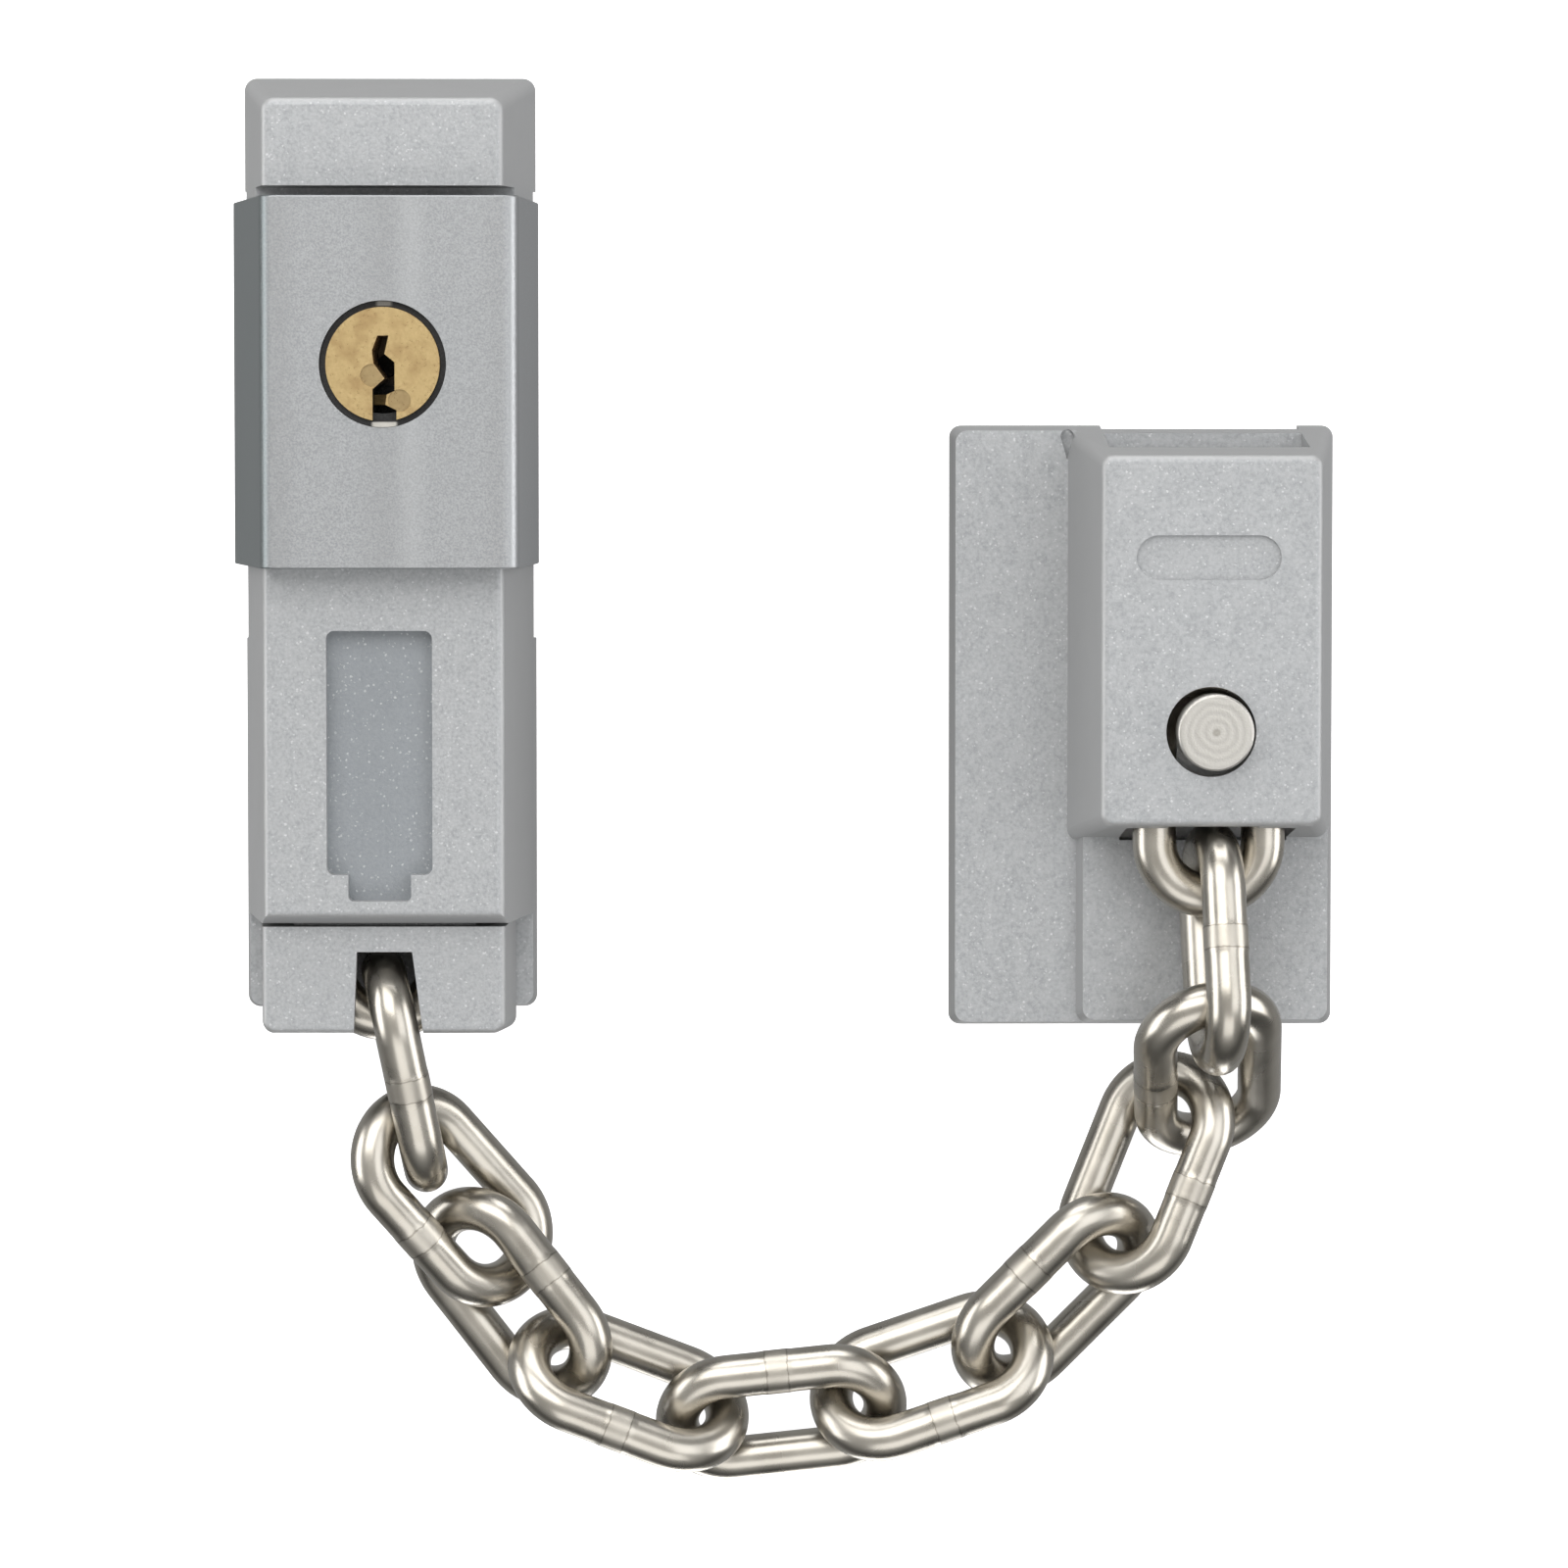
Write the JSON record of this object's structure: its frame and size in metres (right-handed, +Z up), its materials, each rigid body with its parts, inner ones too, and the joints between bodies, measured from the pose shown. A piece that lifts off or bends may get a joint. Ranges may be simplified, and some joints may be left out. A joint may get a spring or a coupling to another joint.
{
  "type": "door chain guard",
  "caption": "Door chain guard: lock body with key cylinder and sliding sleeve, slotted chain carrier, welded steel chain, and a frame housing with an anchor pin.",
  "frame": {"origin": "centre of the door part's back face, on the door's surface", "axes": "+X from the door part to the frame part, +Z up, +Y into the door; the room is on the -Y side"},
  "size_m": [0.1237, 0.0279, 0.158],
  "materials": {
    "silver_coat": "sparkling silver powder coat, fine orange peel",
    "satin_coat": "satin silver coat, finer grain than the cast parts",
    "zinc_plate": "bright zinc-plated sheet",
    "zinc_steel": "zinc-plated turned or pressed steel",
    "black_ring": "blackened barrel, satin",
    "brass": "machined brass, fine turning marks",
    "turned_steel": "turned face with concentric marks",
    "nickel_chain": "warm nickel plate over welded round wire"
  },
  "bodies": {
    "root": {"door_body": "silver_coat", "door_back_plate": "zinc_plate", "frame_cover": "silver_coat", "frame_plate": "zinc_plate", "pin_socket": "zinc_steel", "chain_link_11": "nickel_chain"},
    "sleeve": {"lock_sleeve": "satin_coat", "lock_barrel": "black_ring"},
    "key_plug": {"lock_plug": "brass", "lock_wafers": "brass", "lock_cam": "zinc_steel", "cam_screw": "zinc_steel"},
    "carrier": {"chain_carrier": "silver_coat", "carrier_anchor_pin": "zinc_steel", "chain_link_00": "nickel_chain"},
    "anchor_pin": {"frame_anchor_pin": "turned_steel"},
    "link_10": {"chain_link_10": "nickel_chain"},
    "link_09": {"chain_link_09": "nickel_chain"},
    "link_08": {"chain_link_08": "nickel_chain"},
    "link_07": {"chain_link_07": "nickel_chain"},
    "link_06": {"chain_link_06": "nickel_chain"},
    "link_05": {"chain_link_05": "nickel_chain"},
    "link_04": {"chain_link_04": "nickel_chain"},
    "link_03": {"chain_link_03": "nickel_chain"},
    "link_02": {"chain_link_02": "nickel_chain"},
    "link_01": {"chain_link_01": "nickel_chain"}
  },
  "joints": [
    {"name": "sleeve_slide", "type": "slide", "parent": "root", "child": "sleeve", "axis": [0, 0, -1], "range_m": [0, 0.008]},
    {"name": "plug_turn", "type": "hinge", "parent": "sleeve", "child": "key_plug", "pos_m": [0.0002, -0.018, 0.02], "axis": [0, -1, 0], "range_deg": [-90, 0]},
    {"name": "carrier_release", "type": "slide", "parent": "root", "child": "carrier", "axis": [0, 0, -1], "range_m": [0, 0.008]},
    {"name": "pin_press", "type": "slide", "parent": "root", "child": "anchor_pin", "axis": [0, 1, 0], "range_m": [0, 0.0018]},
    {"name": "chain_swing", "type": "hinge", "parent": "root", "child": "link_10", "pos_m": [-0.0003, -0.0115, -0.05255], "axis": [0.9874, -0.0487, 0.1504], "range_deg": [-60, 0]},
    {"name": "link_09_turn", "type": "hinge", "parent": "link_10", "child": "link_09", "pos_m": [0.0912, -0.0205, -0.0531], "axis": [0, 1, 0], "range_deg": [-1.03, 0]},
    {"name": "link_08_turn", "type": "hinge", "parent": "link_09", "child": "link_08", "pos_m": [0.0906, -0.0042, -0.063], "axis": [0, 1, 0], "range_deg": [-1.39, 0]},
    {"name": "link_07_turn", "type": "hinge", "parent": "link_08", "child": "link_07", "pos_m": [0.0817, -0.007, -0.0787], "axis": [0, 1, 0], "range_deg": [-1.54, 0]},
    {"name": "link_06_turn", "type": "hinge", "parent": "link_07", "child": "link_06", "pos_m": [0.0691, -0.0068, -0.0911], "axis": [0, 1, 0], "range_deg": [-1.37, 0]},
    {"name": "link_05_turn", "type": "hinge", "parent": "link_06", "child": "link_05", "pos_m": [0.0525, -0.0062, -0.0968], "axis": [0, 1, 0], "range_deg": [-0.7243, 0]},
    {"name": "link_04_turn", "type": "hinge", "parent": "link_05", "child": "link_04", "pos_m": [0.0348, -0.0066, -0.0989], "axis": [0, 1, 0], "range_deg": [-0.9168, 0]},
    {"name": "link_03_turn", "type": "hinge", "parent": "link_04", "child": "link_03", "pos_m": [0.0182, -0.0074, -0.0922], "axis": [0, 1, 0], "range_deg": [0, 1.31]},
    {"name": "link_02_turn", "type": "hinge", "parent": "link_03", "child": "link_02", "pos_m": [0.0102, -0.005, -0.0785], "axis": [0, 1, 0], "range_deg": [0, 2.35]},
    {"name": "link_01_turn", "type": "hinge", "parent": "link_02", "child": "link_01", "pos_m": [0.0017, -0.0089, -0.067], "axis": [0, 1, 0], "range_deg": [0, 3.3]}
  ],
  "couplings": [
    {"joint": "link_09_turn", "follows": "carrier_release", "rad_per_m": -2.24},
    {"joint": "link_08_turn", "follows": "carrier_release", "rad_per_m": -3.03},
    {"joint": "link_07_turn", "follows": "carrier_release", "rad_per_m": -3.35},
    {"joint": "link_06_turn", "follows": "carrier_release", "rad_per_m": -2.99},
    {"joint": "link_05_turn", "follows": "carrier_release", "rad_per_m": -1.58},
    {"joint": "link_04_turn", "follows": "carrier_release", "rad_per_m": -2},
    {"joint": "link_03_turn", "follows": "carrier_release", "rad_per_m": 2.86},
    {"joint": "link_02_turn", "follows": "carrier_release", "rad_per_m": 5.12},
    {"joint": "link_01_turn", "follows": "carrier_release", "rad_per_m": 7.21}
  ]
}
